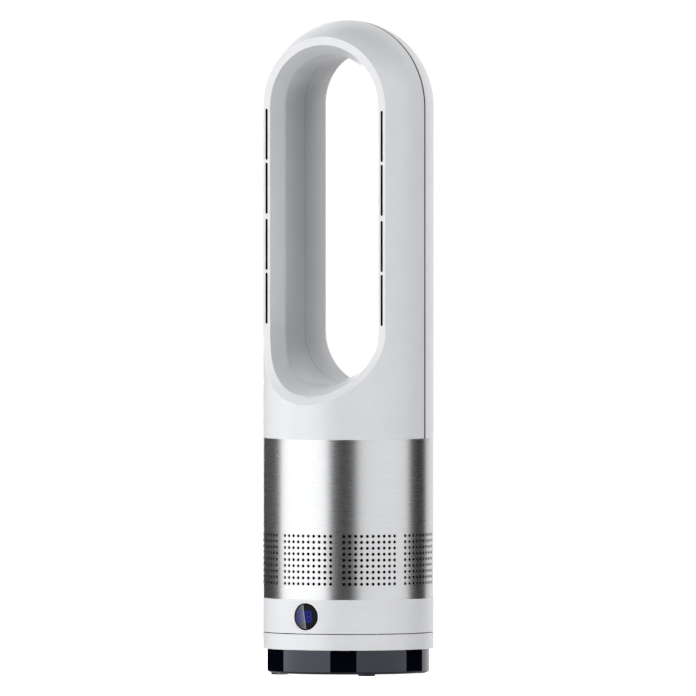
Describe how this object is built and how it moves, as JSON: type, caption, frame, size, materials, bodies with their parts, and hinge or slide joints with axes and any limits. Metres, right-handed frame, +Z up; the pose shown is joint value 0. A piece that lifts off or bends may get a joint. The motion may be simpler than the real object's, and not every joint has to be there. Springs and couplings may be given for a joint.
{
  "type": "bladeless fan",
  "caption": "Upright bladeless tower fan: a tall open loop with air slots on a round perforated steel intake, a ring with a round display, and a swivelling base on feet.",
  "frame": {"origin": "on the tower's axis, at the underside of the rubber feet", "axes": "+Z up along the tower's axis, -Y out of the front of the fan, +X to the right seen from the front"},
  "size_m": [0.2, 0.2, 0.7645],
  "materials": {
    "white_gloss": "glossy white moulded plastic",
    "black_gloss": "glossy black moulded plastic",
    "steel": "satin stainless steel with round holes",
    "display_black": "black glossy display window",
    "slot_black": "matt black air slot liner",
    "black_plastic": "matt black moulded plastic",
    "grey_plastic": "grey glass-filled plastic",
    "acetal": "natural acetal",
    "rubber": "black rubber",
    "zinc_steel": "zinc-plated steel",
    "bearing_steel": "ground bearing steel",
    "motor_can": "plated steel motor can",
    "motor_core": "lacquered laminations and windings",
    "circuit_board": "green circuit board with parts"
  },
  "bodies": {
    "base": {"foot_pads": "rubber", "plinth": "black_gloss", "ballast_plate": "zinc_steel", "cord_gland": "rubber", "base_ring": "white_gloss", "base_screws": "zinc_steel", "thrust_washer": "acetal", "gear_motor": "motor_can", "gear_motor_screws": "zinc_steel"},
    "tower": {"swivel_gear": "acetal", "gear_screws": "zinc_steel", "turntable": "black_plastic", "hub_retainer": "acetal", "control_ring": "white_gloss", "ring_screws": "zinc_steel", "display_bezel": "white_gloss", "display_lens": "display_black", "display_board": "circuit_board", "control_board": "circuit_board", "board_screws": "zinc_steel", "intake_frame": "black_plastic", "dust_screen": "black_plastic", "intake_sleeve": "steel", "inlet_bell": "black_plastic", "isolators": "rubber", "impeller_shroud": "black_plastic", "diffuser": "black_plastic", "motor_stator": "motor_core", "motor_plate": "black_plastic", "motor_cap": "black_plastic", "lower_bearing": "bearing_steel", "upper_bearing": "bearing_steel", "neck_seal": "rubber", "neck_funnel": "black_plastic", "loop_front_shell": "white_gloss", "loop_rear_shell": "white_gloss", "nozzle_left": "slot_black", "nozzle_right": "slot_black"},
    "impeller": {"motor_rotor": "bearing_steel", "impeller": "grey_plastic", "impeller_nut": "zinc_steel"},
    "pinion": {"pinion_shaft": "zinc_steel", "drive_pinion": "acetal"}
  },
  "joints": [
    {"name": "oscillation", "type": "hinge", "parent": "base", "child": "tower", "pos_m": [0, 0, 0.0498], "axis": [0, 0, 1], "range_deg": [-40, 40]},
    {"name": "impeller_spin", "type": "hinge", "parent": "tower", "child": "impeller", "pos_m": [0, 0, 0.211], "axis": [0, 0, 1], "continuous": true},
    {"name": "pinion_spin", "type": "hinge", "parent": "base", "child": "pinion", "pos_m": [0, 0.05625, 0.041], "axis": [0, 0, 1], "range_deg": [-165, 165]}
  ],
  "couplings": [
    {"joint": "pinion_spin", "follows": "oscillation", "ratio": -4}
  ]
}
